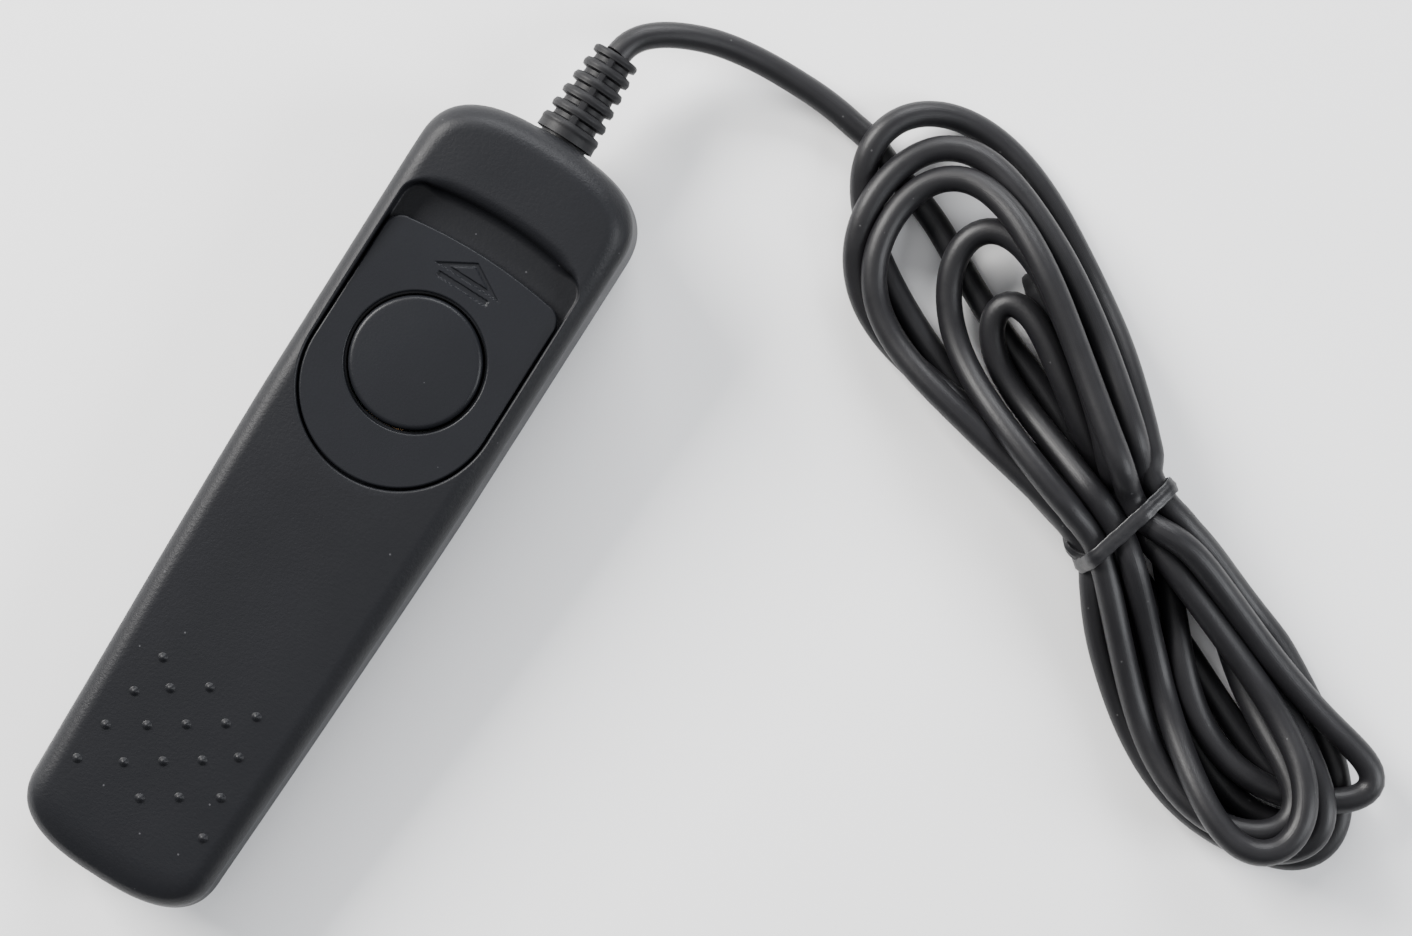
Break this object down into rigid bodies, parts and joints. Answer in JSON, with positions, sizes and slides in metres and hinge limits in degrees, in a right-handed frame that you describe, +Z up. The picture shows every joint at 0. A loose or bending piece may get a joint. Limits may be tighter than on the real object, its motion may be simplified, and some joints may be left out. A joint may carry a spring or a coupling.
{
  "type": "cable shutter release",
  "caption": "Wired camera shutter release: slim black handset with a round button in a sliding lock plate, ribbed strain relief, and a cord tied in a hank with a stereo jack plug",
  "frame": {"origin": "bottom centre of the handset with its strain relief, on the surface that it lies on", "axes": "+Y runs along the handset from its tail to its cord end, +Z is up through the button, +X is the side on which the cord lies"},
  "size_m": [0.1258, 0.1203, 0.0169],
  "materials": {
    "case_plastic": "fine spark-eroded black ABS",
    "button_plastic": "satin black ABS",
    "relief_rubber": "matte black moulded PVC",
    "cord_jacket": "satin black PVC cord jacket",
    "tie_plastic": "black plastic over a soft wire",
    "screw_steel": "zinc-plated steel",
    "spring_steel": "bright spring wire",
    "contact_bronze": "phosphor bronze strip",
    "board_laminate": "green glass-epoxy laminate",
    "insulation": "cream nylon",
    "wire_copper": "orange-brown wire sleeve",
    "wire_white": "white wire sleeve",
    "wire_red": "red wire sleeve",
    "plug_nickel": "nickel-plated brass",
    "plug_insulator": "black insulating ring"
  },
  "bodies": {
    "root": {"upper_shell": "case_plastic", "lower_shell": "case_plastic", "case_screw_1": "screw_steel", "case_screw_2": "screw_steel", "case_screw_3": "screw_steel", "case_screw_4": "screw_steel", "circuit_board": "board_laminate", "board_screw_1": "screw_steel", "board_screw_2": "screw_steel", "leaf_block": "insulation", "shutter_leaf": "contact_bronze", "common_terminal": "contact_bronze", "focus_terminal": "contact_bronze", "common_wire": "wire_copper", "focus_wire": "wire_white", "shutter_wire": "wire_red", "strain_relief": "relief_rubber", "cable_clamp": "insulation", "cable_inside": "cord_jacket", "cable_lead": "cord_jacket", "cable_hank": "cord_jacket", "twist_tie": "tie_plastic", "plug_grip": "relief_rubber", "jack_sleeve": "plug_nickel", "jack_insulator_1": "plug_insulator", "jack_ring": "plug_nickel", "jack_insulator_2": "plug_insulator", "jack_tip": "plug_nickel"},
    "slider": {"hold_slider": "button_plastic", "slider_retainer": "button_plastic", "button_spring": "spring_steel"},
    "button": {"shutter_button": "button_plastic"},
    "common_contact": {"common_leaf": "contact_bronze"},
    "focus_contact": {"focus_leaf": "contact_bronze"}
  },
  "joints": [
    {"name": "hold_slide", "type": "slide", "parent": "root", "child": "slider", "axis": [0, 1, 0], "range_m": [0, 0.0036]},
    {"name": "button_press", "type": "slide", "parent": "slider", "child": "button", "axis": [0, 0, -1], "range_m": [0, 0.0016], "stiffness_N_per_m": 1000, "springref_m": -0.0004, "deforming": ["button_spring"]},
    {"name": "common_leaf_bend", "type": "hinge", "parent": "root", "child": "common_contact", "pos_m": [0, -0.00305, 0.00857], "axis": [-1, 0, 0], "range_deg": [0, 6.3]},
    {"name": "focus_leaf_bend", "type": "hinge", "parent": "root", "child": "focus_contact", "pos_m": [0, -0.00305, 0.00732], "axis": [-1, 0, 0], "range_deg": [0, 4.8]}
  ],
  "couplings": [
    {"joint": "common_leaf_bend", "follows": "button_press", "rad_per_m": 62.5},
    {"joint": "focus_leaf_bend", "follows": "button_press", "rad_per_m": 46.875}
  ]
}
